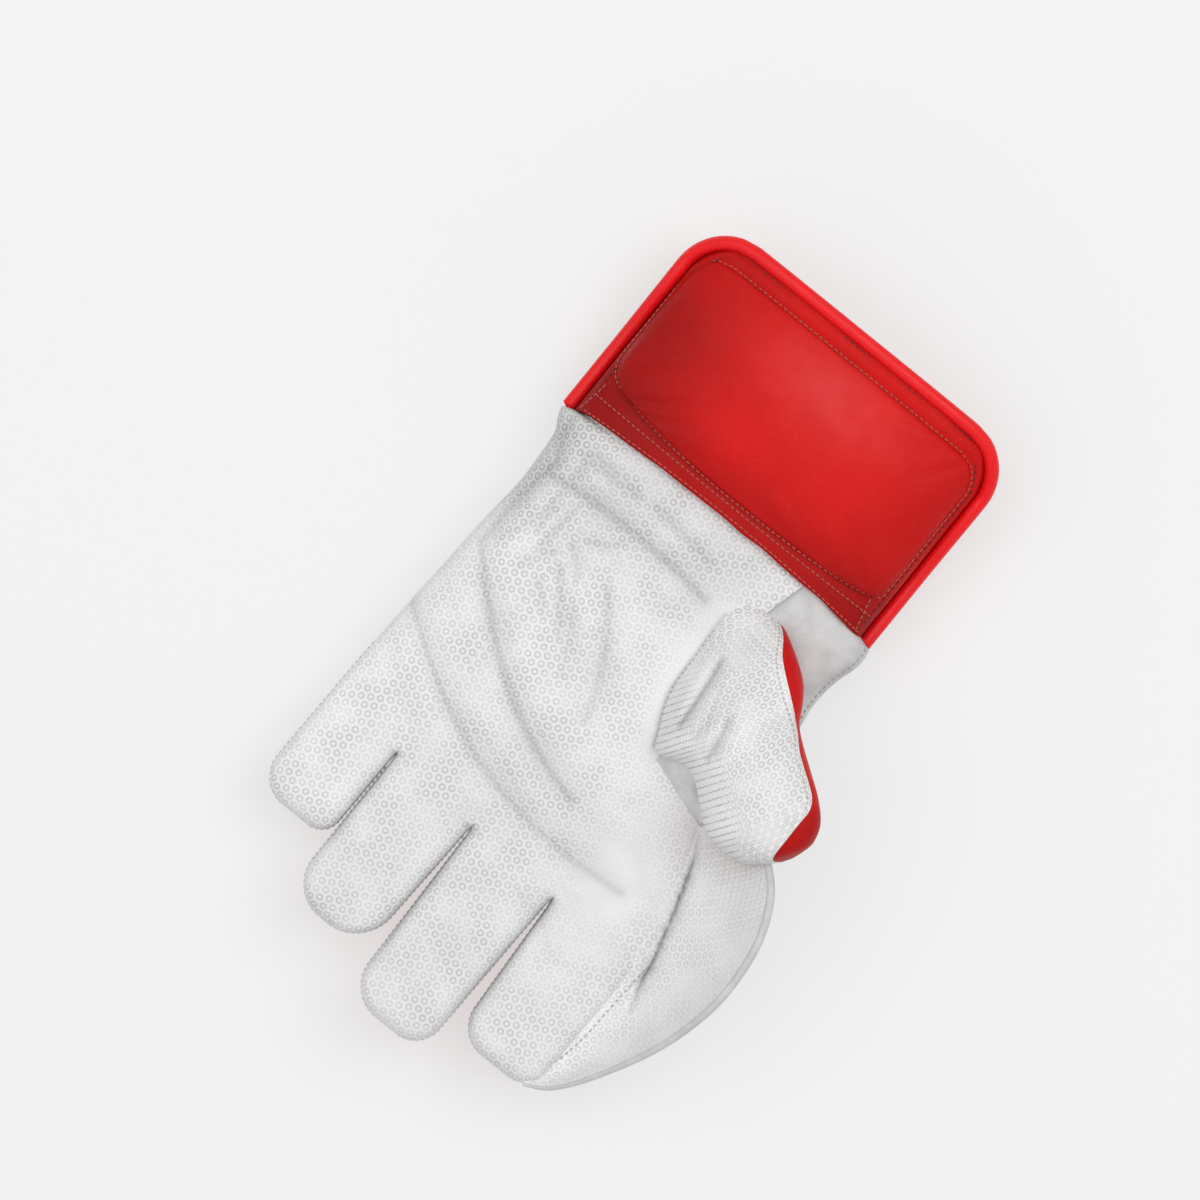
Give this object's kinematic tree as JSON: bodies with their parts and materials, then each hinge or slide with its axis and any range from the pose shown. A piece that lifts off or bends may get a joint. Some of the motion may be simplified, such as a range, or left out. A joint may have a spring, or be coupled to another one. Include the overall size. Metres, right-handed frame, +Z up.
{
  "type": "wicketkeeping glove",
  "caption": "Left-hand wicketkeeping glove lying palm up: embossed facing, hollow finger and thumb stalls, catching web and a padded open cuff.",
  "frame": {"origin": "middle of the bottom of the box, on the surface that the back of the hand lies on", "axes": "+Z up out of the palm, +Y towards the fingertips, -X towards the thumb and the web"},
  "size_m": [0.1786, 0.2984, 0.075],
  "materials": {
    "facing": "matt white, embossed with small rings in a hexagonal pattern",
    "smooth_leather": "smooth white, soft sheen",
    "red_leather": "fine grain, satin",
    "red_piping": "smooth, semi-gloss"
  },
  "bodies": {
    "root": {"palm_facing": "facing", "wrist_gusset": "smooth_leather", "back_panel": "red_leather", "thumb_face": "facing", "thumb_back": "red_leather", "thumb_gusset": "smooth_leather", "web_panel": "facing", "web_binding": "smooth_leather", "cuff_front": "red_leather", "cuff_back": "red_leather", "cuff_pad": "red_leather", "cuff_piping_front": "red_piping", "cuff_piping_back": "red_piping"}
  },
  "joints": []
}
